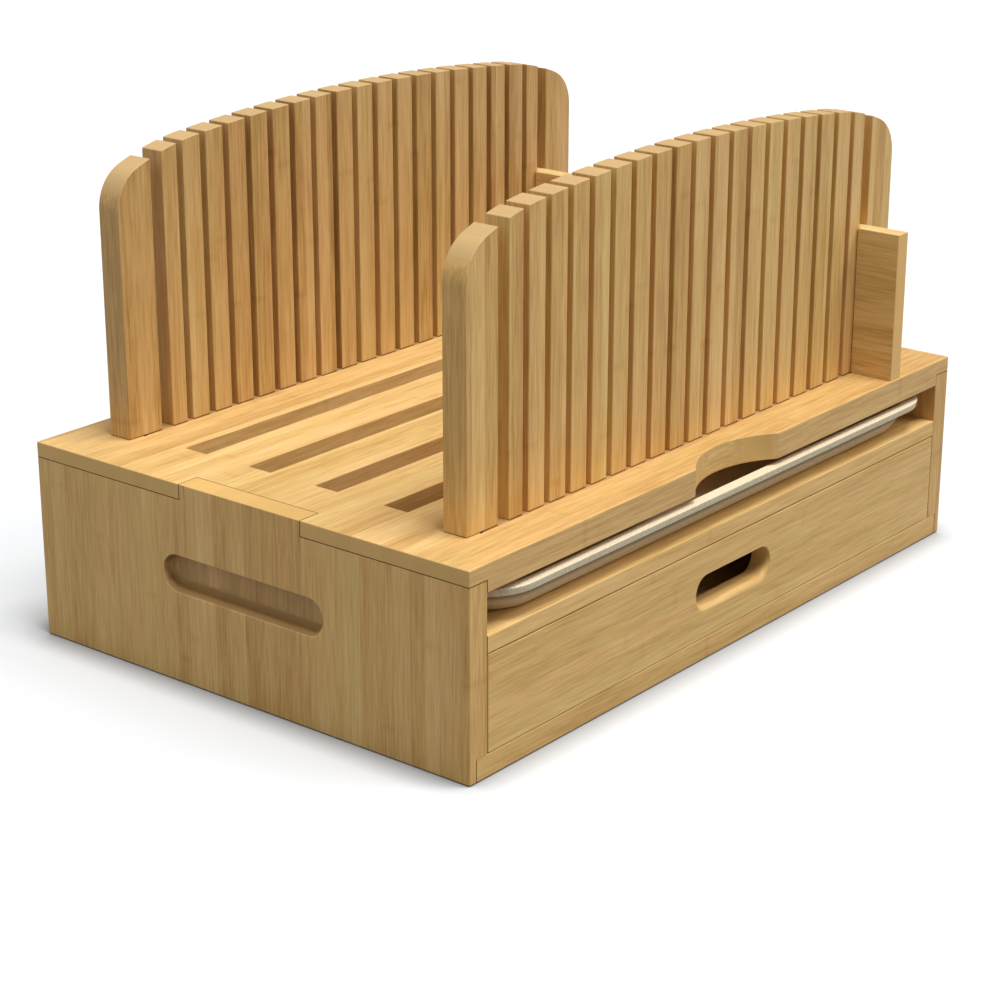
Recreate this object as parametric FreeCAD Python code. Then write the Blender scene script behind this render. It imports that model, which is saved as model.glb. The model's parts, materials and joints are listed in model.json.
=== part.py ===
import FreeCAD, Part
import math
import os

# Bread slicer guide.
# A bamboo box whose top carries two combed knife guides and a stop board. Crumbs fall through the
# slots of the top into a shallow moulded tray; a drawer underneath stores the guides.
# Millimetres. X runs along the front from left to right, Y from front to back, Z up from the ground.
# The origin is on the ground in the middle of the box.

# ---- box: outside sizes and board thicknesses; its length follows from the guides ----
box_depth = 268.0
box_height = 99.0
side_thickness = 12.0
back_thickness = 12.0
top_thickness = 13.4
shelf_thickness = 8.3
bottom_thickness = 10.9

# ---- how the boards of the box join ----
lap_thickness = 7.5          # thinned ends of the top board, lying on the side panels
tongue_width = 75.4          # middle part of a side panel that rises through the top board
bottom_rebate = 7.5          # how far the bottom board reaches under each side panel
tray_room = 19.6             # open height between shelf and top board

# ---- slots and thumb cut-out of the top board ----
slot_count = 6
first_slot_inset = 32.0      # middle of the first slot behind the front edge
last_slot_inset = 27.0       # middle of the last slot before the back edge
slot_past_gap = 11.325       # a slot reaches this far past the outermost gap of the guides
slot_end_board = 38.2        # wood left beyond each end of a slot
slot_face_room = 0.4         # play on each face of a guide in its slot
thumb_width = 70.0
thumb_depth = 12.4

# ---- hand recesses in the outer faces of the side panels ----
recess_length = 98.7
recess_height = 16.6
recess_centre_z = 55.2
recess_wall = 5.0            # wood left behind the recess
recess_softening = 2.6       # rounding of the lower edge

# ---- knife guides ----
guide_thickness = 13.2
shoulder_rest = 10.2         # how far a guide reaches past its slot at each end
spine_end_room = 1.3         # play at each end of the spine in its slot
spine_seat_room = 0.3        # the guides are pushed to the right, up to this gap
spine_room_below = 0.5       # the spine ends this far above the underside of the top board
crown_height = 145.8         # above the cutting surface
crown_radius = 1190.0
shoulder_radius = 145.0
shoulder_start = 120.0       # from the middle of the guide to where the crown turns down
corner_radius = 21.0
knife_pitch = 15.45          # thickness of one slice, gap to gap
knife_gap = 3.85
gap_count = 20
stop_gap = 7.4               # the two outermost gaps are wider and take the stop board

# ---- stop board ----
stop_thickness = 9.4
stop_height = 77.0
stop_end_inset = 1.0         # the board ends this far inside the front and back of the box
stop_play = 1.0              # free play of the thinned board in its gap
stop_seat_room = 0.3         # part of that play left at the end tooth
dado_face_room = 0.3         # play on each face of a guide in its dado
dado_slots = (0, 1, 4, 5)    # the dadoes line up with these slots, counted from the front

# ---- drawer ----
drawer_room = 0.5            # gap around the front, and beside the sides
drawer_back_room = 3.0       # between the closed drawer and the back board
drawer_front_thickness = 10.5
drawer_side_thickness = 9.0
drawer_floor_thickness = 3.5
drawer_floor_lift = 1.6      # underside of the floor above the bottom board
drawer_groove = 4.0          # how deep the floor sits in the drawer walls
groove_face_room = 0.05
groove_edge_room = 0.2
hole_length = 61.4
hole_height = 16.0
hole_rise = 0.9              # centre of the finger hole above the middle of the front
hole_softening = 3.2         # rounding of the lower front edge

# ---- crumb tray ----
tray_side_room = 1.5
tray_back_room = 2.0
tray_height = 16.4
tray_proud = 2.0             # the lip stands this far in front of the box
lip_height = 3.8
lip_draft = 0.8              # the lip leans in this much towards its lower edge
lip_step = 3.2               # the body starts this far inside the lip
foot_inset_x = 12.5          # from the lip to the foot, at the two ends
foot_inset_y = 12.2          # from the lip to the foot, front and back
tray_corner = 30.0
foot_corner = 27.0
rim_width = 6.4
tray_skin = 2.2              # thickness of floor and walls

# ---- dowels ----
dowel_room = 0.05            # glue room around a dowel
dowel_end_room = 0.5         # glue room at each end
dowel_skin = 4.0             # wood left outside a dowel hole of the box
lap_skin = 3.0               # wood left above a dowel hole in a lap
drawer_skin = 3.0            # wood left outside a dowel hole of the drawer
dowel_into_board = 12.0      # how far a dowel reaches into a board's end
dowel_into_bottom = 7.0
dowel_into_side_top = 9.0
shelf_dowel_radius = 2.5
back_dowel_radius = 3.0
lap_dowel_radius = 2.0
drawer_dowel_radius = 2.0
dowel_inset = 24.0           # outermost dowels from the ends of a long joint
recess_clearance = 16.0      # shelf dowels stay this far from the ends of the hand recess
short_inset = 12.0           # outermost dowels from the ends of a short joint

# ---- sizes that follow from the ones above ----
outer_gap_x = knife_pitch * (gap_count - 1) / 2
slot_length = 2 * (outer_gap_x + stop_gap / 2 + slot_past_gap)
x_end = slot_length / 2 + slot_end_board
y_front = -box_depth / 2
y_back = box_depth / 2
x_inside = x_end - side_thickness
y_inside_back = y_back - back_thickness
z_top = box_height
z_lap = z_top - lap_thickness
z_under_top = z_top - top_thickness
z_shelf = z_under_top - tray_room
z_under_shelf = z_shelf - shelf_thickness
z_bottom = bottom_thickness
slot_width = guide_thickness + 2 * slot_face_room
guide_length = slot_length + 2 * shoulder_rest
spine_length = slot_length - 2 * spine_end_room
guide_shift = spine_end_room - spine_seat_room


def Vec(x, y, z):
    return FreeCAD.Vector(x, y, z)


def block(x0, x1, y0, y1, z0, z1):
    return Part.makeBox(x1 - x0, y1 - y0, z1 - z0, Vec(x0, y0, z0))


def both_ends(shape):
    return [shape, shape.mirror(Vec(0, 0, 0), Vec(1, 0, 0))]


def all_both_ends(shapes):
    return [copy for shape in shapes for copy in both_ends(shape)]


def fused(shapes):
    return shapes[0].fuse(shapes[1:]).removeSplitter()


def spread(count, low, high):
    """Evenly spaced places, the first and last at the two ends."""
    return [low + (high - low) * k / (count - 1) for k in range(count)]


def pill_wire(length, height, depth, growth):
    """Outline of a round-ended opening in an XZ plane; growth pushes all but its top edge out."""
    radius = (height + growth) / 2
    half = (length - height) / 2
    low = -height / 2 - growth
    high = height / 2
    middle = -growth / 2
    return Part.Wire([
        Part.makeLine(Vec(-half, depth, low), Vec(half, depth, low)),
        Part.Arc(Vec(half, depth, low), Vec(half + radius, depth, middle),
                 Vec(half, depth, high)).toShape(),
        Part.makeLine(Vec(half, depth, high), Vec(-half, depth, high)),
        Part.Arc(Vec(-half, depth, high), Vec(-half - radius, depth, middle),
                 Vec(-half, depth, low)).toShape(),
    ])


def pill_cutter(length, height, depth, softening):
    """Cuts a round-ended opening from Y = 0 inwards, its top edge crisp and its lower edge rounded."""
    straight = Part.Face(pill_wire(length, height, 0, 0)).extrude(Vec(0, depth, 0))
    rings = []
    for angle in spread(5, 0, math.pi / 2):
        growth = softening * (1 - math.sin(angle))
        rings.append(pill_wire(length, height, softening * (1 - math.cos(angle)), growth))
    return straight.fuse(Part.makeLoft(rings, True, True))


def dowel_set(points, direction, before, after, radius):
    """Dowels through a joint plane, and the longer, wider holes they are glued into."""
    pegs = []
    holes = []
    for point in points:
        start = point - direction * before
        pegs.append(Part.makeCylinder(radius, before + after, start, direction))
        hole_start = start - direction * dowel_end_room
        hole_length_all = before + after + 2 * dowel_end_room
        holes.append(Part.makeCylinder(radius + dowel_room, hole_length_all, hole_start, direction))
    return pegs, holes


slot_centres = spread(slot_count, y_front + first_slot_inset, y_back - last_slot_inset)

# ---- dowels of the box, worked out for the right end and mirrored to the left ----
to_left = Vec(-1, 0, 0)
to_back = Vec(0, 1, 0)
upward = Vec(0, 0, 1)
into_side = side_thickness - dowel_skin - dowel_end_room

shelf_dowel_y = (y_front + dowel_inset, -recess_length / 2 - recess_clearance,
                 recess_length / 2 + recess_clearance, y_inside_back - dowel_inset)
shelf_points = [Vec(x_inside, y, z_shelf - shelf_thickness / 2) for y in shelf_dowel_y]
shelf_pegs, shelf_holes = dowel_set(shelf_points, to_left, into_side, dowel_into_board,
                                    shelf_dowel_radius)

back_dowel_z = spread(3, z_bottom + short_inset, z_under_top - short_inset)
back_points = [Vec(x_inside, y_back - back_thickness / 2, z) for z in back_dowel_z]
back_pegs, back_holes = dowel_set(back_points, to_left, into_side, dowel_into_board,
                                  back_dowel_radius)

bottom_dowel_y = spread(4, y_front + dowel_inset, y_back - dowel_inset)
bottom_points = [Vec(x_inside + bottom_rebate / 2, y, z_bottom) for y in bottom_dowel_y]
bottom_pegs, bottom_holes = dowel_set(bottom_points, upward, dowel_into_bottom, dowel_into_board,
                                      lap_dowel_radius)

top_dowel_y = [side * y for side in (-1, 1)
               for y in spread(2, tongue_width / 2 + dowel_inset, y_back - dowel_inset)]
top_points = [Vec(x_end - side_thickness / 2, y, z_lap) for y in top_dowel_y]
top_pegs, top_holes = dowel_set(top_points, upward, dowel_into_side_top,
                                lap_thickness - lap_skin - dowel_end_room, lap_dowel_radius)


# ---- side panels ----
def right_side():
    """Panel with a raised tongue, a rebate for the bottom board and a blind hand recess."""
    panel = block(x_inside, x_end, y_front, y_back, 0, z_lap)
    tongue = block(x_inside, x_end, -tongue_width / 2, tongue_width / 2, z_lap, z_top)
    panel = fused([panel, tongue])
    rebate = block(x_inside, x_inside + bottom_rebate, y_front, y_back, 0, z_bottom)
    recess = pill_cutter(recess_length, recess_height, side_thickness - recess_wall,
                         recess_softening)
    recess.rotate(Vec(0, 0, 0), Vec(0, 0, 1), 90)
    recess.translate(Vec(x_end, 0, recess_centre_z))
    return panel.cut([rebate, recess] + shelf_holes + back_holes + bottom_holes + top_holes)


right_side_panel, left_side_panel = both_ends(right_side())


# ---- top board ----
def top():
    """Slotted cutting surface, its ends thinned and notched around the tongues."""
    board = block(-x_inside, x_inside, y_front, y_back, z_under_top, z_top)
    laps = []
    for y0, y1 in ((y_front, -tongue_width / 2), (tongue_width / 2, y_back)):
        laps += both_ends(block(x_inside, x_end, y0, y1, z_lap, z_top))
    board = fused([board] + laps)
    slots = [block(-slot_length / 2, slot_length / 2, y - slot_width / 2, y + slot_width / 2,
                   z_under_top, z_top) for y in slot_centres]
    thumb_radius = (thumb_width ** 2 / 4 + thumb_depth ** 2) / (2 * thumb_depth)
    thumb_centre = Vec(0, y_front + thumb_depth - thumb_radius, z_under_top)
    thumb = Part.makeCylinder(thumb_radius, top_thickness, thumb_centre)
    return board.cut(slots + [thumb] + all_both_ends(top_holes))


# ---- shelf, back and bottom ----
def shelf():
    board = block(-x_inside, x_inside, y_front, y_inside_back, z_under_shelf, z_shelf)
    return board.cut(all_both_ends(shelf_holes))


def back():
    board = block(-x_inside, x_inside, y_inside_back, y_back, z_bottom, z_under_top)
    return board.cut(all_both_ends(back_holes))


def bottom():
    half = x_inside + bottom_rebate
    return block(-half, half, y_front, y_back, 0, z_bottom).cut(all_both_ends(bottom_holes))


# ---- drawer ----
x_drawer = x_inside - drawer_room
x_drawer_inside = x_drawer - drawer_side_thickness
y_drawer_walls = y_front + drawer_front_thickness
y_drawer_back = y_inside_back - drawer_back_room
y_drawer_inside_back = y_drawer_back - drawer_side_thickness
z_drawer_front = z_bottom + drawer_room
z_drawer_top = z_under_shelf - drawer_room
z_floor = z_bottom + drawer_floor_lift
z_floor_top = z_floor + drawer_floor_thickness

corner_dowel_z = spread(2, z_bottom + short_inset, z_drawer_top - short_inset)
front_points = [Vec(x_drawer - drawer_side_thickness / 2, y_drawer_walls, z) for z in corner_dowel_z]
front_pegs, front_holes = dowel_set(front_points, to_back,
                                    drawer_front_thickness - drawer_skin - dowel_end_room,
                                    dowel_into_board, drawer_dowel_radius)
rear_points = [Vec(x_drawer_inside, y_drawer_back - drawer_side_thickness / 2, z)
               for z in corner_dowel_z]
rear_pegs, rear_holes = dowel_set(rear_points, to_left,
                                  drawer_side_thickness - drawer_skin - dowel_end_room,
                                  dowel_into_board, drawer_dowel_radius)


def floor_panel(edge_room, face_room):
    """The drawer floor with its edges; without room it is the floor, with room the groove."""
    half = x_drawer_inside + drawer_groove - edge_room
    return block(-half, half, y_drawer_walls - drawer_groove + edge_room,
                 y_drawer_inside_back + drawer_groove - edge_room,
                 z_floor - face_room, z_floor_top + face_room)


groove = floor_panel(0, groove_face_room)


def drawer_front():
    board = block(-x_drawer, x_drawer, y_front, y_drawer_walls, z_drawer_front, z_drawer_top)
    hole = pill_cutter(hole_length, hole_height, drawer_front_thickness, hole_softening)
    hole.translate(Vec(0, y_front, (z_drawer_front + z_drawer_top) / 2 + hole_rise))
    return board.cut([hole, groove] + all_both_ends(front_holes))


def drawer_side():
    board = block(x_drawer_inside, x_drawer, y_drawer_walls, y_drawer_back, z_bottom, z_drawer_top)
    return board.cut([groove] + front_holes + rear_holes)


def drawer_back():
    board = block(-x_drawer_inside, x_drawer_inside, y_drawer_inside_back, y_drawer_back,
                  z_bottom, z_drawer_top)
    return board.cut([groove] + all_both_ends(rear_holes))


right_drawer_side, left_drawer_side = both_ends(drawer_side())


# ---- crumb tray ----
def tray_ring(inset_x, inset_y, radius, z):
    """Rounded rectangle at a height, set in from the outer edge of the lip."""
    x = x_inside - tray_side_room - inset_x
    y0 = y_front - tray_proud + inset_y
    y1 = y_inside_back - tray_back_room - inset_y
    near = radius * (1 - math.sqrt(0.5))

    def corner(side, y, step):
        ends = [Vec(side * (x - radius), y, z), Vec(side * (x - near), y + step * near, z),
                Vec(side * x, y + step * radius, z)]
        return Part.Arc(*(ends if side * step > 0 else ends[::-1])).toShape()

    return Part.Wire([
        Part.makeLine(Vec(-x + radius, y0, z), Vec(x - radius, y0, z)),
        corner(1, y0, 1),
        Part.makeLine(Vec(x, y0 + radius, z), Vec(x, y1 - radius, z)),
        corner(1, y1, -1),
        Part.makeLine(Vec(x - radius, y1, z), Vec(-x + radius, y1, z)),
        corner(-1, y1, -1),
        Part.makeLine(Vec(-x, y1 - radius, z), Vec(-x, y0 + radius, z)),
        corner(-1, y0, 1),
    ])


def tray():
    """Thin tapered pan with a thick lip, open at the top."""
    z_rim = z_shelf + tray_height
    z_lip = z_rim - lip_height
    step = lip_draft + lip_step
    wall = step + tray_skin
    foot = tray_ring(foot_inset_x, foot_inset_y, foot_corner, z_shelf)
    floor = tray_ring(foot_inset_x + tray_skin, foot_inset_y + tray_skin, foot_corner - tray_skin,
                      z_shelf + tray_skin)
    outer_waist = tray_ring(step, step, tray_corner - step, z_lip)
    inner_waist = tray_ring(wall, wall, tray_corner - wall, z_lip)
    lip = Part.makeLoft([tray_ring(lip_draft, lip_draft, tray_corner - lip_draft, z_lip),
                         tray_ring(0, 0, tray_corner, z_rim)], True, True)
    mouth = Part.makeLoft([inner_waist, tray_ring(rim_width, rim_width, tray_corner - rim_width,
                                                  z_rim)], True, True)
    body = Part.makeLoft([foot, outer_waist], True, True)
    hollow = Part.makeLoft([floor, inner_waist], True, True)
    return fused([lip, body]).cut([hollow, mouth])


# ---- knife guides ----
def guide_outline():
    """Blank seen from the front: spine, resting shoulders, and a crown of three arcs each side."""
    half = guide_length / 2
    start = math.asin(shoulder_start / crown_radius)
    z_crown = z_top + crown_height
    shoulder_arm = crown_radius - shoulder_radius
    x_shoulder = shoulder_arm * math.sin(start)
    z_shoulder = z_crown - crown_radius + shoulder_arm * math.cos(start)
    corner_arm = shoulder_radius - corner_radius
    x_corner = half - corner_radius
    finish = math.asin((x_corner - x_shoulder) / corner_arm)
    z_corner = z_shoulder + corner_arm * math.cos(finish)

    def on_arc(x, z, radius, angle):
        return (x + radius * math.sin(angle), z + radius * math.cos(angle))

    crown_end = on_arc(x_shoulder, z_shoulder, shoulder_radius, start)
    shoulder_mid = on_arc(x_shoulder, z_shoulder, shoulder_radius, (start + finish) / 2)
    shoulder_end = on_arc(x_corner, z_corner, corner_radius, finish)
    corner_mid = on_arc(x_corner, z_corner, corner_radius, (finish + math.pi / 2) / 2)
    corner_end = (half, z_corner)
    z_spine = z_under_top + spine_room_below
    steps = [corner_end, (half, z_top), (spine_length / 2, z_top), (spine_length / 2, z_spine)]

    def at(point, side):
        return Vec(side * point[0], 0, point[1])

    edges = [Part.Arc(at(crown_end, -1), Vec(0, 0, z_crown), at(crown_end, 1)).toShape(),
             Part.makeLine(at(steps[-1], -1), at(steps[-1], 1))]
    for side in (1, -1):
        edges.append(Part.Arc(at(crown_end, side), at(shoulder_mid, side),
                              at(shoulder_end, side)).toShape())
        edges.append(Part.Arc(at(shoulder_end, side), at(corner_mid, side),
                              at(corner_end, side)).toShape())
        for a, b in zip(steps[:-1], steps[1:]):
            edges.append(Part.makeLine(at(a, side), at(b, side)))
    return Part.Wire(Part.__sortEdges__(edges))


def guide(y_slot):
    """Comb: the blank with its knife gaps sawn down to the cutting surface."""
    blank = Part.Face(guide_outline()).extrude(Vec(0, guide_thickness, 0))
    gaps = []
    for k, x in enumerate(spread(gap_count, -outer_gap_x, outer_gap_x)):
        half_gap = (stop_gap if k in (0, gap_count - 1) else knife_gap) / 2
        gaps.append(block(x - half_gap, x + half_gap, 0, guide_thickness,
                          z_top, z_top + crown_height))
    comb = blank.cut(gaps)
    comb.translate(Vec(guide_shift, y_slot - guide_thickness / 2, 0))
    return comb


# ---- stop board ----
def stop():
    """Board that stands in the right-hand wide gaps, thinned where it passes the guides."""
    x1 = guide_shift + outer_gap_x + stop_gap / 2 - stop_seat_room
    x0 = x1 - stop_thickness
    z1 = z_top + stop_height
    board = block(x0, x1, y_front + stop_end_inset, y_back - stop_end_inset, z_top, z1)
    half_dado = guide_thickness / 2 + dado_face_room
    x_web = x1 - (stop_gap - stop_play)
    dadoes = [block(x0, x_web, slot_centres[k] - half_dado, slot_centres[k] + half_dado, z_top, z1)
              for k in dado_slots]
    return board.cut(dadoes)


def group(pegs):
    return Part.makeCompound(all_both_ends(pegs))


nodes = {
    "left_side_panel": left_side_panel,
    "right_side_panel": right_side_panel,
    "top_board": top(),
    "shelf_board": shelf(),
    "back_board": back(),
    "bottom_board": bottom(),
    "top_board_dowels": group(top_pegs),
    "shelf_dowels": group(shelf_pegs),
    "back_board_dowels": group(back_pegs),
    "bottom_board_dowels": group(bottom_pegs),
    "drawer_front": drawer_front(),
    "drawer_left_side": left_drawer_side,
    "drawer_right_side": right_drawer_side,
    "drawer_back": drawer_back(),
    "drawer_bottom": floor_panel(groove_edge_room, 0),
    "drawer_front_dowels": group(front_pegs),
    "drawer_back_dowels": group(rear_pegs),
    "crumb_tray": tray(),
    "front_guide": guide(slot_centres[0]),
    "rear_guide": guide(slot_centres[-1]),
    "stop_board": stop(),
}

os.makedirs("parts", exist_ok=True)
for name, shape in nodes.items():
    shape.exportStep("parts/" + name + ".step")
    box = shape.BoundBox
    print("%-20s solids %2d valid %s volume %9.1f  x %7.1f %7.1f  y %7.1f %7.1f  z %6.1f %6.1f" % (
        name, len(shape.Solids), shape.isValid(), shape.Volume,
        box.XMin, box.XMax, box.YMin, box.YMax, box.ZMin, box.ZMax))
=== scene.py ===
# %% [markdown]
# # Bread slicer guide
# A bamboo box with a crumb tray and a drawer. Two combed guides and a stop board stand in the slots
# of its top and lead the knife, so that every slice comes out equally thick.
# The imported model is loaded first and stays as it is: it says where each board sits and what it
# slides with. This script gives the boards their soft edges, their bamboo and their light.

import json
import math

import bmesh
import bpy
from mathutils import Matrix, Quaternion, Vector
from mathutils.bvhtree import BVHTree

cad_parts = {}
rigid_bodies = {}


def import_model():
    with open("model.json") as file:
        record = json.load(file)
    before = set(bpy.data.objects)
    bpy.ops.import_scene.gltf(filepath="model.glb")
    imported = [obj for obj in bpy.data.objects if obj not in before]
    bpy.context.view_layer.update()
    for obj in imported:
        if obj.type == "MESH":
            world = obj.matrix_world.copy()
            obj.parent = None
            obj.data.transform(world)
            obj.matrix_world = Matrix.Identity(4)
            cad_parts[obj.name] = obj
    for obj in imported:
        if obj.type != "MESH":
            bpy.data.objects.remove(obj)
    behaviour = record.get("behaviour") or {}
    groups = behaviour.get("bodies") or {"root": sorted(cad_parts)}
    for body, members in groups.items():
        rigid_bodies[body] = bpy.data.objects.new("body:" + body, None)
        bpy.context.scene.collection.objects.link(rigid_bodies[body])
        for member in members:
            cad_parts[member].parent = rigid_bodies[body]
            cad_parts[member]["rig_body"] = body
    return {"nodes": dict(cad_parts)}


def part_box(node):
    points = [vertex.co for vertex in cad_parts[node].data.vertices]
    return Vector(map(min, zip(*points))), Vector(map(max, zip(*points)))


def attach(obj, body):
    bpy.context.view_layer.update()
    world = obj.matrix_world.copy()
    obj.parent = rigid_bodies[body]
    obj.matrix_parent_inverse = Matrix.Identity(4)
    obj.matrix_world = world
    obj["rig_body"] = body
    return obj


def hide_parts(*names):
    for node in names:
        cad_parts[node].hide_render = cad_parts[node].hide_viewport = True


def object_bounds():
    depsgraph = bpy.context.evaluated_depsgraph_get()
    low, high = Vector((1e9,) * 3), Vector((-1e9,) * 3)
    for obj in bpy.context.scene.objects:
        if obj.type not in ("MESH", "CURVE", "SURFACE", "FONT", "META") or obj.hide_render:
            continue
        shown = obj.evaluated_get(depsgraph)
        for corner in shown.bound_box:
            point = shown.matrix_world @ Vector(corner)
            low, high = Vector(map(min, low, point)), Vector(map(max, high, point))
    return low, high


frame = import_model()
cad_box = [list(corner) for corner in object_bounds()]
print("CAD box", cad_box)

# %% Millimetres to Blender's metres
MM = 0.001


def mm(*values):
    """Lengths in millimetres as metres: one number, or a vector of several."""
    return values[0] * MM if len(values) == 1 else Vector(values) * MM


size = (Vector(cad_box[1]) - Vector(cad_box[0])) / MM
print("whole size in mm", [round(v, 1) for v in size])

# %% [markdown]
# ## Camera
# The guide is seen from its front left corner and from a little above, with a long lens, so that
# upright edges stay nearly parallel. A camera can be turned by hand or aimed at a point. Aiming is
# easier to read: it needs only where the camera stands, what it looks at, and how far it is rolled.

# %% Camera
camera_place = mm(-947.8, -752.8, 483.5)
camera_aim = mm(3.6, 13.7, 39.4)
camera_roll = math.radians(0.087)
line_of_sight = camera_aim - camera_place

bpy.ops.object.select_all(action="DESELECT")
bpy.ops.object.camera_add(location=camera_place)
camera = bpy.context.object
camera.name = "camera"
camera.data.sensor_width = 36.0
camera.data.lens = 90.55
camera.data.clip_start = 0.05
camera.data.clip_end = 30.0
camera.rotation_mode = "QUATERNION"
camera.rotation_quaternion = (line_of_sight.to_track_quat("-Z", "Y")
                              @ Quaternion((0, 0, 1), camera_roll))
bpy.context.scene.camera = camera
print("camera is", round(line_of_sight.length, 3), "m from what it looks at")

# %% [markdown]
# ## Materials: three helpers
# Colours are picked as sRGB hex codes, as in any paint program, but a shader works with linear
# light. One function does that sum. A second one adds a shader node with its settings and links,
# which keeps each recipe below as short as a list of ingredients. A third starts a new material.

# %% Colour and node helpers
def hex_colour(code):
    """An sRGB hex code such as "#E1B975" as linear red, green, blue and alpha."""
    parts = [int(code[i:i + 2], 16) / 255 for i in (1, 3, 5)]
    linear = [p / 12.92 if p <= 0.04045 else ((p + 0.055) / 1.055) ** 2.4 for p in parts]
    return (*linear, 1.0)


def add_node(tree, kind, settings=None, links=None):
    """Adds one shader node. A setting is a property or an input; a link feeds an input.

    The stops of a colour ramp are a setting too: pairs of place and hex code, in rising order.
    """
    new = tree.nodes.new(kind)
    for name, value in (settings or {}).items():
        if name == "stops":
            first, *between, last = value
            for stop, (place, code) in zip(new.color_ramp.elements, (first, last)):
                stop.position, stop.color = place, hex_colour(code)
            for place, code in between:
                new.color_ramp.elements.new(place).color = hex_colour(code)
        elif isinstance(name, str) and hasattr(new, name):
            setattr(new, name, value)
        else:
            new.inputs[name].default_value = value
    for name, source in (links or {}).items():
        tree.links.new(source, new.inputs[name])
    return new


def empty_material(name):
    """A new material with an empty node tree and its output node."""
    material = bpy.data.materials.new(name)
    material.use_nodes = True
    material.node_tree.nodes.clear()
    return material, material.node_tree, material.node_tree.nodes.new("ShaderNodeOutputMaterial")


print("a bamboo tan in linear light", [round(v, 3) for v in hex_colour("#E1B975")])

# %% [markdown]
# ## Floor and light
# The object stands on a wide, plain pale floor. Most light comes from a softbox high above, a
# little to the front. A second, wider lamp straight above softens its shadows, and two fills, from
# the front and from the left, keep the upright faces readable. Sun lamps seen under a wide angle
# are used instead of area lamps, because they light the whole floor evenly.
# The floor sends less light back up than its white would: light that bounces meets a grey, while
# the camera and reflections see the white. It lies half a millimetre below the box, as a real
# table touches a board in a few places only, so that the fine dark line under the box shows. Lamps
# as wide as these leave the floor paler beside a box than it is on a table. Ambient occlusion over
# the last two centimetres deepens it there, and follows the drawer when it is pulled out.

# %% Floor
floor_width = 24.0          # metres
floor_below = 0.5           # mm from the underside of the box to the floor
contact_reach = 18          # mm, how far ambient occlusion looks for the box
contact_open = 0.5          # floor that sees this share of what is above it, or less,
contact_tone = 0.52         # keeps this share of its tone

bpy.ops.object.select_all(action="DESELECT")
bpy.ops.mesh.primitive_plane_add(size=floor_width, location=(0, 0, mm(-floor_below)))
floor = bpy.context.object
floor.name = "floor"
floor_paint, tree, out = empty_material("white_studio_floor")
path = add_node(tree, "ShaderNodeLightPath")
seen = add_node(tree, "ShaderNodeMath", {"operation": "MAXIMUM"},
                {0: path.outputs["Is Camera Ray"], 1: path.outputs["Is Glossy Ray"]})
seen_or_through = add_node(tree, "ShaderNodeMath", {"operation": "MAXIMUM"},
                           {0: seen.outputs[0], 1: path.outputs["Is Transmission Ray"]})
floor_mix = add_node(tree, "ShaderNodeMix",
                     {"data_type": "RGBA", 6: hex_colour("#707070"), 7: hex_colour("#E4E6E8")},
                     {0: seen_or_through.outputs[0]})
near = add_node(tree, "ShaderNodeAmbientOcclusion", {"samples": 12, "Distance": mm(contact_reach)})
beside = add_node(tree, "ShaderNodeMapRange", {"From Min": contact_open, "To Min": contact_tone},
                  {"Value": near.outputs["AO"]})
floor_tone = add_node(tree, "ShaderNodeVectorMath", {"operation": "SCALE"},
                      {0: floor_mix.outputs[2], "Scale": beside.outputs[0]})
matt = add_node(tree, "ShaderNodeBsdfDiffuse", {}, {"Color": floor_tone.outputs[0]})
tree.links.new(matt.outputs[0], out.inputs["Surface"])
floor.data.materials.append(floor_paint)
print("floor reaches", floor.dimensions.x / 2, "m to each side")

# %% World
room_light = 0.25           # strength of the light from all around
white = (1, 1, 1, 1)

world = bpy.data.worlds.new("studio")
bpy.context.scene.world = world
world.use_nodes = True
tree = world.node_tree
tree.nodes.clear()
path = add_node(tree, "ShaderNodeLightPath")
seen = add_node(tree, "ShaderNodeMath", {"operation": "MAXIMUM"},
                {0: path.outputs["Is Camera Ray"], 1: path.outputs["Is Transmission Ray"]})
room = add_node(tree, "ShaderNodeBackground", {"Color": white, "Strength": room_light})
backdrop = add_node(tree, "ShaderNodeBackground", {"Color": white, "Strength": 1.0})
shown = add_node(tree, "ShaderNodeMixShader", {},
                 {0: seen.outputs[0], 1: room.outputs[0], 2: backdrop.outputs[0]})
add_node(tree, "ShaderNodeOutputWorld", {}, {"Surface": shown.outputs[0]})
bpy.context.scene.view_settings.view_transform = "Standard"
print("room light", room.inputs["Strength"].default_value)

# %% Lamps
# the direction that each shines along, its strength, and its width in degrees
lamps = {
    "overhead_softbox": ((0.00, 0.25, -0.97), 2.25, 24),
    "ceiling_light": ((-0.02, 0.00, -1.00), 0.50, 50),
    "front_fill": ((-0.45, 0.54, -0.71), 1.10, 32),
    "left_fill": ((0.81, -0.22, -0.55), 0.45, 50),
}
for name, (towards, strength, width) in lamps.items():
    bpy.ops.object.select_all(action="DESELECT")
    bpy.ops.object.light_add(type="SUN", location=-Vector(towards).normalized() * 2)
    lamp = bpy.context.object
    lamp.name = name
    lamp.rotation_euler = Vector(towards).to_track_quat("-Z", "Y").to_euler()
    lamp.data.energy = strength
    lamp.data.angle = math.radians(width)
    print(lamp.name, round(lamp.data.energy, 2))

# %% [markdown]
# ## Laminated bamboo
# Bamboo is split into strips a few millimetres wide, planed, glued side by side into boards and
# oiled. The eye sees strips of slightly different tan, long fine fibres that run with the board,
# and now and then the faint brown band of a node, where the cane had a joint. The ends of the
# strips show dots instead of fibres. An image texture would fit one face only; a pattern worked out
# in space runs through the board as real strips do, so that faces agree at every edge.
# The recipe has three steps: the board is split into strips, each strip gets its grain, and the
# tone of the grain is turned into colour, roughness and a fine relief.

# %% Bamboo: strips
strip_uneven = 0.7          # 0 would make all strips equally wide
strip_slide = 3.0           # metres of cane over which the strips are shuffled


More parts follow.
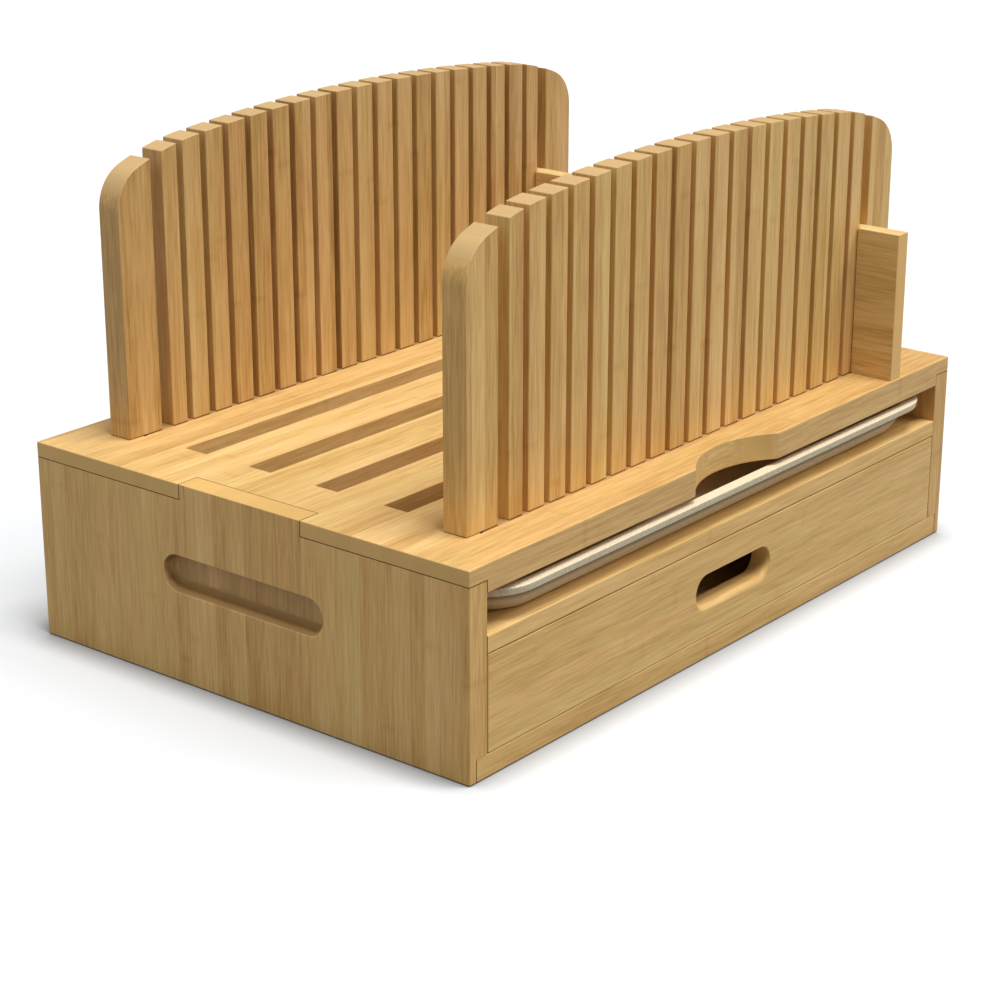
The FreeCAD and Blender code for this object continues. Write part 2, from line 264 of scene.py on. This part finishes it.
def split_into_strips(tree, axes, along, stacked, strip, shift):
    """Three chances for each strip, the place along its own cane, and that place in space."""
    count = add_node(tree, "ShaderNodeMath",
                     {"operation": "MULTIPLY_ADD", 1: 1 / mm(strip), 2: shift},
                     {0: axes.outputs[stacked]})
    strips = add_node(tree, "ShaderNodeTexVoronoi",
                      {"voronoi_dimensions": "1D", "Scale": 1.0, "Randomness": strip_uneven},
                      {"W": count.outputs[0]})
    chance = add_node(tree, "ShaderNodeSeparateColor", {}, {0: strips.outputs["Color"]})
    slid = add_node(tree, "ShaderNodeMath", {"operation": "MULTIPLY_ADD", 1: strip_slide},
                    {0: chance.outputs[1], 2: axes.outputs[along]})
    through = ({"X", "Y", "Z"} - {along, stacked}).pop()
    cane = add_node(tree, "ShaderNodeCombineXYZ", {},
                    {0: slid.outputs[0], 1: axes.outputs[stacked], 2: axes.outputs[through]})
    return chance, slid, cane


print("strips shuffled over", strip_slide, "m of cane")

# %% Bamboo: grain
# three sizes of grain: how many per metre along, across and through, detail, share in the tone
grain_sizes = {
    "fibre": ((45, 950, 950), 3.0, 0.95),
    "streak": ((9, 300, 300), 2.0, 0.40),
    "cloud": ((8, 70, 70), 2.0, 0.50),
}
grain_roughness = 0.55
strip_share = 0.30          # how much the strips differ in tone
tone_offset = -0.575        # brings the mean tone to 0.5, the middle of the colours
node_every = 270            # mm of cane between two nodes
node_half_width = 0.012     # of a node's band, as a share of that
node_dark = -0.09           # how much darker the middle of the band is


def grain_tone(tree, chance, slid, cane):
    """The tone of the grain, about 0 to 1, and the noises that it is made of."""
    tone = add_node(tree, "ShaderNodeMath",
                    {"operation": "MULTIPLY_ADD", 1: strip_share, 2: tone_offset},
                    {0: chance.outputs[0]})
    noises = {}
    for part, (per_metre, detail, share) in grain_sizes.items():
        space = add_node(tree, "ShaderNodeVectorMath", {"operation": "MULTIPLY", 1: per_metre},
                         {0: cane.outputs[0]})
        noises[part] = add_node(tree, "ShaderNodeTexNoise",
                                {"Scale": 1.0, "Detail": detail, "Roughness": grain_roughness},
                                {"Vector": space.outputs[0]})
        tone = add_node(tree, "ShaderNodeMath", {"operation": "MULTIPLY_ADD", 1: share},
                        {0: noises[part].outputs["Fac"], 2: tone.outputs[0]})
    # nodes of the cane: a faint band, at another place in each strip
    beat = add_node(tree, "ShaderNodeMath", {"operation": "MULTIPLY_ADD", 1: 1 / mm(node_every)},
                    {0: slid.outputs[0], 2: chance.outputs[2]})
    from_node = add_node(tree, "ShaderNodeMath", {"operation": "PINGPONG", 1: 0.5},
                         {0: beat.outputs[0]})
    band = add_node(tree, "ShaderNodeMapRange",
                    {"interpolation_type": "SMOOTHSTEP", "From Min": 0.0,
                     "From Max": node_half_width, "To Min": node_dark, "To Max": 0.0},
                    {"Value": from_node.outputs[0]})
    tone = add_node(tree, "ShaderNodeMath", {"operation": "ADD"},
                    {0: tone.outputs[0], 1: band.outputs[0]})
    return tone, noises


print("grain from", round(1000 / grain_sizes["fibre"][0][1], 2), "mm wide")

# %% Bamboo: recipe
tan = ("#C39150", "#DFB670", "#EFCD8A")      # dark, middle and light cane
tan_places = (0.15, 0.5, 0.85)
usual_strip = 9.0           # mm
end_soft = 0.30             # the end grain's colour comes in over this much turn of a face
end_share = 0.86            # and covers this much of the grain
fibre_dots = 0.6            # mm between two fibre bundles in an end
shade_line_half = 0.25          # mm, half the width of the dark line of painted shade where a guide stands
saw_cut_reach = 8           # mm above that line in which the floors of the saw cuts lie, painted browner as shade


def bamboo(name, along, stacked, strip=usual_strip, tones=tan, ends=None, end_from=0.35,
           shade_line_at=None, shift=0.0):
    """Laminated bamboo whose fibres run along one axis and whose strips are stacked along another.

    strip is the strips' usual width in mm; shift moves the pattern, so that two boards differ.
    ends is the colour of the end grain, and end_from how steeply a face may cut the fibres before
    it shows. A guide's foot height in mm, when given, puts a fine dark line of painted shade there,
    where the guide stands on the top. Just above it lie the floors of the saw cuts between the teeth,
    whose end grain is painted browner, as shade.
    """
    material, tree, out = empty_material(name)
    place = add_node(tree, "ShaderNodeTexCoord")
    axes = add_node(tree, "ShaderNodeSeparateXYZ", {}, {0: place.outputs["Object"]})
    chance, slid, cane = split_into_strips(tree, axes, along, stacked, strip, shift)
    tone, noises = grain_tone(tree, chance, slid, cane)
    # across the strips' ends there are no streaks to see
    facing = add_node(tree, "ShaderNodeSeparateXYZ", {}, {0: place.outputs["Normal"]})
    end_on = add_node(tree, "ShaderNodeMath", {"operation": "ABSOLUTE"},
                      {0: facing.outputs[along]})
    end_mask = add_node(tree, "ShaderNodeMapRange",
                        {"From Min": end_from, "From Max": end_from + end_soft,
                         "To Max": end_share}, {"Value": end_on.outputs[0]})
    calmer = add_node(tree, "ShaderNodeMix", {"data_type": "FLOAT", 3: 0.5},
                      {0: end_mask.outputs[0], 2: tone.outputs[0]})
    ramp = add_node(tree, "ShaderNodeValToRGB", {"stops": zip(tan_places, tones)},
                    {0: calmer.outputs[0]})
    # the hue wanders too: some cane is rosier, some yellower
    lean = add_node(tree, "ShaderNodeMath", {"operation": "MULTIPLY_ADD", 1: 0.55},
                    {0: chance.outputs[2], 2: noises["cloud"].outputs["Fac"]})
    lean_share = add_node(tree, "ShaderNodeMapRange", {"From Min": 0.40, "From Max": 1.15},
                          {"Value": lean.outputs[0]})
    tint = add_node(tree, "ShaderNodeMix",
                    {"data_type": "RGBA", 6: hex_colour("#FBFEF8"), 7: hex_colour("#FFF9FB")},
                    {0: lean_share.outputs[0]})
    hue = add_node(tree, "ShaderNodeMix", {"data_type": "RGBA", "blend_type": "MULTIPLY", 0: 1.0},
                   {6: ramp.outputs[0], 7: tint.outputs[2]})
    # a fine dark line of painted shade where the guide stands on the top
    if shade_line_at:
        in_shade_line = add_node(tree, "ShaderNodeMath",
                          {"operation": "COMPARE", 1: mm(shade_line_at), 2: mm(shade_line_half)},
                          {0: axes.outputs["Z"]})
        hue = add_node(tree, "ShaderNodeMix", {"data_type": "RGBA", 7: hex_colour("#7A5628")},
                       {0: in_shade_line.outputs[0], 6: hue.outputs[2]})
    # ends of the strips have their own colour, a little different in each, and fine dots
    cut = add_node(tree, "ShaderNodeMix", {"data_type": "RGBA", 7: hex_colour(ends or tones[1])},
                   {0: end_mask.outputs[0], 6: hue.outputs[2]})
    # the floors of the saw cuts between the teeth take a browner end grain, as painted shade
    if shade_line_at:
        saw_cut_in_painted_shade = add_node(tree, "ShaderNodeMath",
                              {"operation": "LESS_THAN", 1: mm(shade_line_at + saw_cut_reach)},
                              {0: axes.outputs["Z"]})
        end_hue = add_node(tree, "ShaderNodeMix",
                           {"data_type": "RGBA", 6: hex_colour(ends), 7: hex_colour("#B48C55")},
                           {0: saw_cut_in_painted_shade.outputs[0]})
        tree.links.new(end_hue.outputs[2], cut.inputs[7])
    dots = add_node(tree, "ShaderNodeTexVoronoi", {"Scale": 1 / mm(fibre_dots), "Randomness": 0.8},
                    {"Vector": place.outputs["Object"]})
    dot_dark = add_node(tree, "ShaderNodeMapRange",
                        {"From Min": 0.1, "From Max": 0.5, "To Min": 0.94, "To Max": 1.00},
                        {"Value": dots.outputs["Distance"]})
    each_end = add_node(tree, "ShaderNodeMapRange", {"To Min": 0.96, "To Max": 1.03},
                        {"Value": chance.outputs[0]})
    end_tone = add_node(tree, "ShaderNodeMath", {"operation": "MULTIPLY"},
                        {0: dot_dark.outputs[0], 1: each_end.outputs[0]})
    end_dark = add_node(tree, "ShaderNodeMix", {"data_type": "FLOAT", 2: 1.0},
                        {0: end_mask.outputs[0], 3: end_tone.outputs[0]})
    colour = add_node(tree, "ShaderNodeVectorMath", {"operation": "SCALE"},
                      {0: cut.outputs[2], "Scale": end_dark.outputs[0]})
    # oil leaves a dull satin: the fibres show in the gloss and in a relief of a tenth of a mm
    rough = add_node(tree, "ShaderNodeMapRange", {"To Min": 0.42, "To Max": 0.60},
                     {"Value": noises["fibre"].outputs["Fac"]})
    relief = add_node(tree, "ShaderNodeMapRange", {"To Min": 0.4, "To Max": 0.0},
                      {"Value": end_mask.outputs[0]})
    bump = add_node(tree, "ShaderNodeBump", {"Distance": mm(0.10)},
                    {"Height": noises["fibre"].outputs["Fac"], "Strength": relief.outputs[0]})
    skin = add_node(tree, "ShaderNodeBsdfPrincipled", {"IOR": 1.47, "Specular IOR Level": 0.4},
                    {"Base Color": colour.outputs[0], "Roughness": rough.outputs[0],
                     "Normal": bump.outputs[0]})
    tree.links.new(skin.outputs[0], out.inputs["Surface"])
    return material


print("strips are usually", usual_strip, "mm wide")

# %% [markdown]
# Each board is cut from its own bamboo. The fibres run along a board, and upright in the side
# panels and the guides. The top is of paler cane. The shelf is given a paler tan as painted light,
# to lift its shade under the tray, and the rear guide a darker tan as painted shade, for the shade
# behind the front guide. The colour of the end grain differs with how finely each board was sanded.

# %% Bamboo boards
shade_line_height = 99.2           # mm, just above the top, where the guides stand: a line of painted shade
guide_ends = "#C9A774"

side_bamboo = bamboo("oiled_bamboo_side_panels", "Z", "Y")
top_bamboo = bamboo("oiled_bamboo_top", "X", "Y", tones=("#C19356", "#DDB674", "#EDCD8E"),
                    ends="#DBB26C", end_from=0.2, shift=11.3)
board_bamboo = bamboo("oiled_bamboo_boards", "X", "Y", shift=3.7)
# painted light: the shelf under the tray is given a paler tan to lift its shade
shelf_bamboo_painted_light = bamboo("oiled_bamboo_shelf", "X", "Y", tones=("#C99753", "#E5BC75", "#F4D38E"),
                      shift=3.7)
back_bamboo = bamboo("oiled_bamboo_back", "X", "Z", shift=8.2)
drawer_front_bamboo = bamboo("oiled_bamboo_drawer_front", "X", "Z", shift=5.1)
drawer_side_bamboo = bamboo("oiled_bamboo_drawer_sides", "Y", "Z", shift=2.9)
guide_bamboo = bamboo("oiled_bamboo_front_guide", "Z", "X", ends=guide_ends,
                      shade_line_at=shade_line_height, shift=0.4)
# the rear guide's darker tan is painted shade, for the shade behind the front guide
shaded_rear_guide_bamboo = bamboo("oiled_bamboo_rear_guide_painted_shade", "Z", "X",
                             tones=("#B3874F", "#D1AC6E", "#E2C389"), ends=guide_ends,
                             shade_line_at=shade_line_height, shift=6.9)
stop_bamboo = bamboo("oiled_bamboo_stop_board", "Y", "Z", strip=7.0,
                     tones=("#C3985A", "#DFBF80", "#EFD69C"), ends="#EDBC71", shift=6.6)
print("bamboo materials", [m.name for m in bpy.data.materials if "bamboo" in m.name])

# %% [markdown]
# Where two boards are glued, the eye sees a hair-thin dark line of set glue and shadow. The seam
# edges get a tiny chamfer below, and its faces take this second material.

# %% Glue line
glue_line, tree, out = empty_material("set_glue_in_seams")
place = add_node(tree, "ShaderNodeTexCoord")
beads = add_node(tree, "ShaderNodeTexNoise", {"Scale": 120.0, "Detail": 2.0},
                 {"Vector": place.outputs["Object"]})
glue = add_node(tree, "ShaderNodeValToRGB", {"stops": ((0.3, "#543A16"), (0.7, "#704E20"))},
                {0: beads.outputs["Fac"]})
skin = add_node(tree, "ShaderNodeBsdfPrincipled", {"Roughness": 0.9, "Specular IOR Level": 0.1},
                {"Base Color": glue.outputs[0]})
tree.links.new(skin.outputs[0], out.inputs["Surface"])
print("seams take", glue_line.name)

# %% [markdown]
# ## Dowel wood
# The boards are held together with turned hardwood dowels. They are out of sight inside their
# holes, but each still gets its wood: pale birch with fine lines, smooth from the lathe.

# %% Dowels
dowel_wood, tree, out = empty_material("turned_birch_dowel")
place = add_node(tree, "ShaderNodeTexCoord")
lines_space = add_node(tree, "ShaderNodeVectorMath", {"operation": "MULTIPLY", 1: (160, 900, 900)},
                       {0: place.outputs["Object"]})
lines = add_node(tree, "ShaderNodeTexNoise", {"Scale": 1.0, "Detail": 3.0},
                 {"Vector": lines_space.outputs[0]})
birch = add_node(tree, "ShaderNodeValToRGB", {"stops": ((0.3, "#D2B183"), (0.7, "#E6CDA2"))},
                 {0: lines.outputs["Fac"]})
lathe = add_node(tree, "ShaderNodeBump", {"Strength": 0.3, "Distance": mm(0.1)},
                 {"Height": lines.outputs["Fac"]})
skin = add_node(tree, "ShaderNodeBsdfPrincipled", {"Roughness": 0.5, "IOR": 1.47},
                {"Base Color": birch.outputs[0], "Normal": lathe.outputs[0]})
tree.links.new(skin.outputs[0], out.inputs["Surface"])

dowel_nodes = [name for name in frame["nodes"] if name.endswith("_dowels")]
for name in dowel_nodes:
    mesh = frame["nodes"][name].data
    mesh.materials.clear()
    mesh.materials.append(dowel_wood)
print(len(dowel_nodes), "groups of dowels have their wood")

# %% [markdown]
# ## Boards with soft edges
# Each board is planed flat and its free edges are sanded, so that an edge catches a fine line of
# light. Edges that are glued to a neighbour stay nearly sharp: there the eye sees a hair-thin dark
# seam. The board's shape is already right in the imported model, so a copy of it is taken, its loose
# triangles are merged into whole faces, and its edges are picked in two lots and bevelled.

# %% Copy a board
def work_on(piece):
    """Only this piece is selected and active."""
    bpy.ops.object.select_all(action="DESELECT")
    piece.select_set(True)
    bpy.context.view_layer.objects.active = piece


def board_copy(node, name):
    """A copy of a CAD node whose loose triangles are merged into flat faces."""
    piece = bpy.data.objects.new(name, frame["nodes"][node].data.copy())
    bpy.context.scene.collection.objects.link(piece)
    piece.data.materials.clear()
    work_on(piece)
    bpy.ops.object.mode_set(mode="EDIT")
    bpy.ops.mesh.select_all(action="SELECT")
    bpy.ops.mesh.remove_doubles(threshold=mm(0.005))
    bpy.ops.mesh.dissolve_limited(angle_limit=math.radians(0.5))
    bpy.ops.object.mode_set(mode="OBJECT")
    return piece


surfaces = {name: BVHTree.FromPolygons([v.co for v in cad.data.vertices],
                                       [p.vertices for p in cad.data.polygons])
            for name, cad in frame["nodes"].items()}
print(len(surfaces), "surfaces to look for neighbours on")

# %% Pick edges
sharp_angle = math.radians(40)      # edges that turn less are part of a curve
dowel_reach = 0.6                   # mm; edges of a dowel's hole are hidden and left alone


def touches(point, nodes, room):
    """True where a point lies within room of the surface of one of these CAD nodes."""
    return any(surfaces[name].find_nearest(point, room)[0] is not None for name in nodes)


def pick_edges(piece, neighbours, glued, room):
    """In edit mode: picks the sharp edges within room mm of a neighbour, or those that are free."""
    shape = bmesh.from_edit_mesh(piece.data)
    picked = 0
    for edge in shape.edges:
        sharp = len(edge.link_faces) == 2 and edge.calc_face_angle() > sharp_angle
        middle = (edge.verts[0].co + edge.verts[1].co) / 2
        hidden = sharp and touches(middle, dowel_nodes, mm(dowel_reach))
        at_joint = sharp and touches(middle, neighbours, mm(room))
        edge.select_set(sharp and not hidden and at_joint == glued)
        picked += edge.select
    shape.select_flush_mode()
    bmesh.update_edit_mesh(piece.data)
    return picked


print("sharp edges turn more than", round(math.degrees(sharp_angle)), "degrees")

# %% Soften and hand over
def even_shading(piece, angle):
    """Smooth shading that bends only at the bevels and leaves the flat faces flat."""
    bpy.ops.object.shade_smooth_by_angle(angle=angle)
    even = piece.modifiers.new("even_shading", "WEIGHTED_NORMAL")
    even.keep_sharp = True
    bpy.ops.object.modifier_apply(modifier=even.name)


def soften(piece, material, neighbours=(), free=0.45, seam=0.22, room=0.1):
    """Bevels the free edges by free mm and the glued ones by seam mm, then evens the shading."""
    work_on(piece)
    piece.data.materials.append(material)
    piece.data.materials.append(glue_line)
    bpy.ops.object.mode_set(mode="EDIT")
    bpy.context.tool_settings.mesh_select_mode = (False, True, False)
    for width, glued, steps in ((free, False, 2), (seam, True, 1)):
        bpy.ops.mesh.select_all(action="DESELECT")
        if pick_edges(piece, neighbours, glued, room):
            bpy.ops.mesh.bevel(offset=mm(width), segments=steps, affect="EDGES",
                               clamp_overlap=False, material=int(glued))
    bpy.ops.object.mode_set(mode="OBJECT")
    even_shading(piece, sharp_angle)
    return piece


def hand_over(piece, node, slot):
    """Lets a finished piece ride on its node's body and stand for that node."""
    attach(piece, frame["nodes"][node]["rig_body"])
    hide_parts(node)
    print(piece.name, len(piece.data.polygons), "faces")


# %% [markdown]
# ## Box
# Six boards make the box: two side panels, the slotted top, the shelf under the tray, the back and
# the bottom. The cutter for the hand recesses has a round nose, so the wood turns softly from the
# walls of a recess into its floor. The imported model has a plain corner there. In the side panels it
# is picked by its distance from the outer face and bevelled into such a cove, and the edges follow.

# %% Cove in the hand recesses
recess_depth = 7.0          # mm from the outer face of a side panel to the floor of its recess
cove_radius = 4.0           # mm


def outer_face(panel):
    """How far the outer face of a side panel lies from the middle of the box."""
    return max(abs(v.co.x) for v in panel.data.vertices)


def cove(panel):
    """Rounds the corner all round the floor of the hand recess."""
    floor_at = outer_face(panel) - mm(recess_depth)
    bpy.ops.object.mode_set(mode="EDIT")
    bpy.context.tool_settings.mesh_select_mode = (False, True, False)
    bpy.ops.mesh.select_all(action="DESELECT")
    shape = bmesh.from_edit_mesh(panel.data)
    for edge in shape.edges:
        edge.select_set(all(abs(floor_at - abs(v.co.x)) < mm(0.05) for v in edge.verts))
    picked = sum(edge.select for edge in shape.edges)
    bmesh.update_edit_mesh(panel.data)
    bpy.ops.mesh.bevel(offset=mm(cove_radius), segments=6, affect="EDGES", clamp_overlap=False)
    bpy.ops.object.mode_set(mode="OBJECT")
    print(panel.name, picked, "edges round the recess floor")


# %% Box
# node: the piece's name, its material, its slot, and the nodes that it is glued to
sides = ["left_side_panel", "right_side_panel"]
boards = ["top_board", "shelf_board", "back_board", "bottom_board"]
box_boards = {
    "left_side_panel": ("left_panel", side_bamboo, "side_panel_bamboo", boards),
    "right_side_panel": ("right_panel", side_bamboo, "side_panel_bamboo", boards),
    "top_board": ("slotted_top", top_bamboo, "top_board_bamboo", sides + ["back_board"]),
    "shelf_board": ("tray_shelf", shelf_bamboo_painted_light, "board_bamboo", sides + ["back_board"]),
    "back_board": ("back_panel", back_bamboo, "board_bamboo",
                   sides + ["top_board", "shelf_board", "bottom_board"]),
    "bottom_board": ("bottom_panel", board_bamboo, "board_bamboo", sides + ["back_board"]),
}
for node, (name, material, slot, neighbours) in box_boards.items():
    board = board_copy(node, name)
    if node in sides:
        cove(board)
    hand_over(soften(board, material, neighbours, room=0.3), node, slot)

# %% [markdown]
# The hand recesses are cut with a router after the panels are glued. The wood inside a recess is
# painted browner, as the recess's shade. The upper and lower walls cut across the fibres and take
# a darker end-grain colour, which is painted shade too. The faces inside a recess are found by where
# they lie, and take a third material.

# %% Routed recesses, with painted shade
routed_from, routed_to = 0.1, 12    # mm below the outer face
recess_half = 55                    # mm from the middle of the panel, past each round end
recess_low, recess_high = 42, 68    # mm, heights just outside the recess

# painted shade: browner tones and a darker end grain for the faces inside the recesses
recess_shade_bamboo = bamboo("bamboo_with_painted_shade_in_recesses", "Z", "Y",
                       tones=("#A8824E", "#C79F66", "#DBB67C"), ends="#A27D4B", end_from=0.25)
for name in ("left_panel", "right_panel"):
    panel = bpy.data.objects[name]
    panel.data.materials.append(recess_shade_bamboo)
    outside = outer_face(panel)
    for face in panel.data.polygons:
        x, y, z = face.center / MM
        in_recess = abs(y) < recess_half and recess_low < z < recess_high
        if in_recess and routed_from < outside / MM - abs(x) < routed_to:
            face.material_index = 2
    print(name, sum(face.material_index == 2 for face in panel.data.polygons), "routed faces")

# %% [markdown]
# ## Drawer
# The drawer is a front with a finger hole, two sides and a back round a thin floor, which is let
# into grooves. It is made as the box is, from copies with softened edges, and its edges are sanded
# a little less. The five pieces ride on the drawer's body, so that they come out together.

# %% Drawer
front_and_back = ["drawer_front", "drawer_back"]
left_and_right = ["drawer_left_side", "drawer_right_side"]
drawer_boards = {
    "drawer_front": ("drawer_face", drawer_front_bamboo, left_and_right + ["drawer_bottom"]),
    "drawer_left_side": ("drawer_left", drawer_side_bamboo, front_and_back + ["drawer_bottom"]),
    "drawer_right_side": ("drawer_right", drawer_side_bamboo, front_and_back + ["drawer_bottom"]),
    "drawer_back": ("drawer_end", drawer_front_bamboo, left_and_right + ["drawer_bottom"]),
    "drawer_bottom": ("drawer_floor", board_bamboo, left_and_right + front_and_back),
}
for node, (name, material, neighbours) in drawer_boards.items():
    hand_over(soften(board_copy(node, name), material, neighbours, free=0.4), node, "drawer_bamboo")

# %% [markdown]
# ## Guides and stop board
# The guides are combs, sawn from thick boards with upright fibres, and the stop board slips into
# their wide gaps. Nothing is glued to them, so all their edges are free and sanded.

# %% Guides and stop board
standing_boards = {
    "front_guide": ("front_comb", guide_bamboo, "guide_bamboo"),
    "rear_guide": ("rear_comb", shaded_rear_guide_bamboo, "guide_bamboo"),
    "stop_board": ("end_stop", stop_bamboo, "stop_board_bamboo"),
}
for node, (name, material, slot) in standing_boards.items():
    hand_over(soften(board_copy(node, name), material), node, slot)

# %% [markdown]
# ## Crumb tray
# The tray is pressed from a plastic that is filled with ground plant fibre. Such a sheet comes out
# of the mould with a folded lip, leaning walls that let it leave the mould, and a wide soft cove
# between wall and floor. It could be cut from a block with booleans, but a moulded skin is more
# natural to grow: one face starts as the foot, is extruded and widened up the outside to the lip,
# turned inwards over the rim, and taken down the inside to the floor. Each ring is given the
# rounding that its edge has on the real tray, and one bevel at the end makes them all.

# %% Tray: foot outline
tray_low, tray_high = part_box("crumb_tray")
tray_middle = (tray_low + tray_high) / 2
tray_half = (tray_high - tray_low) / 2
foot_inset_x, foot_inset_y = 12.5, 11.8     # mm from the outline of the rim to that of the foot
foot_corner = 26                            # mm, radius
foot_rounding = 2.2                         # mm, its lower edge
widest_rounding = 8.0                       # mm, the cove; other edges are shares of it

bpy.ops.object.select_all(action="DESELECT")
bpy.ops.mesh.primitive_plane_add(size=2.0, location=(0, 0, 0))
tray = bpy.context.object
tray.name = "moulded_tray"
bpy.ops.object.mode_set(mode="EDIT")
bpy.ops.mesh.select_all(action="SELECT")
bpy.ops.transform.resize(value=(tray_half.x - mm(foot_inset_x), tray_half.y - mm(foot_inset_y), 1),
                         center_override=(0, 0, 0))
bpy.ops.transform.translate(value=(tray_middle.x, tray_middle.y, tray_low.z))
bpy.ops.mesh.bevel(offset=mm(foot_corner), segments=14, affect="VERTICES")
foot = bmesh.from_edit_mesh(tray.data)
print("foot corners at", [round(v.co.x / MM, 1) for v in foot.verts][:2])


# %% Tray: grow the skin
def round_ring(rounding):
    """Notes how far the edges of the picked face are to be rounded, in mm."""
    shape = bmesh.from_edit_mesh(tray.data)
    layers = shape.edges.layers.float
    share = layers.get("bevel_weight_edge") or layers.new("bevel_weight_edge")
    for edge in shape.edges:
        if edge.select:
            edge[share] = rounding / widest_rounding
    bmesh.update_edit_mesh(tray.data)


def grow(rise, inset_x, inset_y, rounding):
    """Extrudes the picked face to a height above the foot, inset from the rim's outline, in mm."""
    ring = [v.co.copy() for v in bmesh.from_edit_mesh(tray.data).verts if v.select]
    wide = (max(c.x for c in ring) - min(c.x for c in ring)) / 2
    deep = (max(c.y for c in ring) - min(c.y for c in ring)) / 2
    height = tray_low.z + mm(rise)
    bpy.ops.mesh.extrude_region_move(
        TRANSFORM_OT_translate={"value": (0, 0, height - ring[0].z)})
    bpy.ops.transform.resize(value=((tray_half.x - mm(inset_x)) / wide,
                                    (tray_half.y - mm(inset_y)) / deep, 1),
                             center_override=(tray_middle.x, tray_middle.y, height))
    round_ring(rounding)


round_ring(foot_rounding)
# height above the foot, inset along x and y, rounding
for ring in (
    (4.6, 9.0, 8.4, 3.5),           # the outside bellies a little on its way up
    (13.6, 6.2, 5.0, 0.4),          # waist, tucked up under the lip
    (12.7, 0.5, 0.5, 0.4),          # lower edge of the lip, which hides the waist
    (16.4, 0.0, 0.0, 0.7),          # the lip leans outwards
    (16.4, 6.4, 6.4, 1.2),          # across the rim
    (12.7, 7.6, 7.2, 3.0),          # down the inside
    (2.2, 16.0, 16.0, 8.0),         # to the floor, which meets the walls in a cove
):
    grow(*ring)
bpy.ops.mesh.select_all(action="SELECT")
bpy.ops.mesh.normals_make_consistent(inside=False)
bpy.ops.object.mode_set(mode="OBJECT")
print(len(tray.data.vertices), "points before the edges are rounded")

# %% Tray: round the edges
rounded = tray.modifiers.new("rounded_edges", "BEVEL")
rounded.limit_method = "WEIGHT"
rounded.width = mm(widest_rounding)
rounded.segments = 5
rounded.use_clamp_overlap = False
work_on(tray)
bpy.ops.object.modifier_apply(modifier=rounded.name)
even_shading(tray, math.radians(35))
bpy.ops.object.transform_apply(location=True, rotation=True, scale=True)
print("tray", [round(d / MM, 1) for d in tray.dimensions], "mm")

# %% [markdown]
# Plant-fibre plastic is a warm white. Ground fibres show as a very fine mottle, and a few larger
# ones as single brown flecks. The mould leaves a dull satin skin. The fold below the lip lies in
# shade: a darker band on the outside of the wall is painted shade there.
# Faces that look away from the middle of the tray are on the outside.

# %% Tray: plastic
mottle_size = 1.1                           # mm
fleck_cell = 12                             # mm, about one fleck to each
fleck_largest = 0.055                       # its radius, as a share of the cell
fold_from, fold_full = 5.4, 9.0             # mm above the foot, where the band of painted shade comes in
fold_end = 12.6                             # mm above the foot, just under the lip

tray_plastic, tree, out = empty_material("moulded_plant_fibre_plastic")
place = add_node(tree, "ShaderNodeTexCoord")
mottle = add_node(tree, "ShaderNodeTexNoise", {"Scale": 1 / mm(mottle_size), "Detail": 2.0},
                  {"Vector": place.outputs["Object"]})
cream = add_node(tree, "ShaderNodeValToRGB", {"stops": ((0.30, "#DAC8A3"), (0.62, "#EADCC0"))},
                 {0: mottle.outputs["Fac"]})
# the size of each fleck is left to chance, and most are too small to notice
flecks = add_node(tree, "ShaderNodeTexVoronoi", {"Scale": 1 / mm(fleck_cell), "Randomness": 1.0},
                  {"Vector": place.outputs["Object"]})
fleck_size = add_node(tree, "ShaderNodeSeparateColor", {}, {0: flecks.outputs["Color"]})
fleck_edge = add_node(tree, "ShaderNodeMapRange",
                      {"From Min": 0.3, "From Max": 1.0, "To Min": 0.0, "To Max": fleck_largest},
                      {"Value": fleck_size.outputs[0]})
fleck = add_node(tree, "ShaderNodeMath", {"operation": "LESS_THAN"},
                 {0: flecks.outputs["Distance"], 1: fleck_edge.outputs[0]})
speckled = add_node(tree, "ShaderNodeMix", {"data_type": "RGBA", 7: hex_colour("#7C654A")},
                    {0: fleck.outputs[0], 6: cream.outputs[0]})
axes = add_node(tree, "ShaderNodeSeparateXYZ", {}, {0: place.outputs["Object"]})
# painted shade: a darker band on the outside of the wall, below the lip
fold = add_node(tree, "ShaderNodeMapRange",
                {"interpolation_type": "SMOOTHSTEP", "From Min": tray_low.z + mm(fold_from),
                 "From Max": tray_low.z + mm(fold_full)}, {"Value": axes.outputs["Z"]})
below_lip = add_node(tree, "ShaderNodeMath",
                     {"operation": "LESS_THAN", 1: tray_low.z + mm(fold_end)},
                     {0: axes.outputs["Z"]})
outwards = add_node(tree, "ShaderNodeVectorMath", {"operation": "DOT_PRODUCT"},
                    {0: place.outputs["Normal"], 1: place.outputs["Object"]})
outside = add_node(tree, "ShaderNodeMath", {"operation": "GREATER_THAN", 1: 0.0},
                   {0: outwards.outputs["Value"]})
in_fold = add_node(tree, "ShaderNodeMath", {"operation": "MULTIPLY"},
                   {0: fold.outputs[0], 1: below_lip.outputs[0]})
shade = add_node(tree, "ShaderNodeMath", {"operation": "MULTIPLY"},
                 {0: in_fold.outputs[0], 1: outside.outputs[0]})
shaded = add_node(tree, "ShaderNodeMix", {"data_type": "RGBA", 7: hex_colour("#978B6D")},
                  {0: shade.outputs[0], 6: speckled.outputs[2]})
satin = add_node(tree, "ShaderNodeBump", {"Strength": 0.3, "Distance": mm(0.08)},
                 {"Height": mottle.outputs["Fac"]})
skin = add_node(tree, "ShaderNodeBsdfPrincipled",
                {"Roughness": 0.60, "IOR": 1.49, "Specular IOR Level": 0.25},
                {"Base Color": shaded.outputs[2], "Normal": satin.outputs[0]})
tree.links.new(skin.outputs[0], out.inputs["Surface"])
tray.data.materials.append(tray_plastic)
hand_over(tray, "crumb_tray", "tray_plastic")
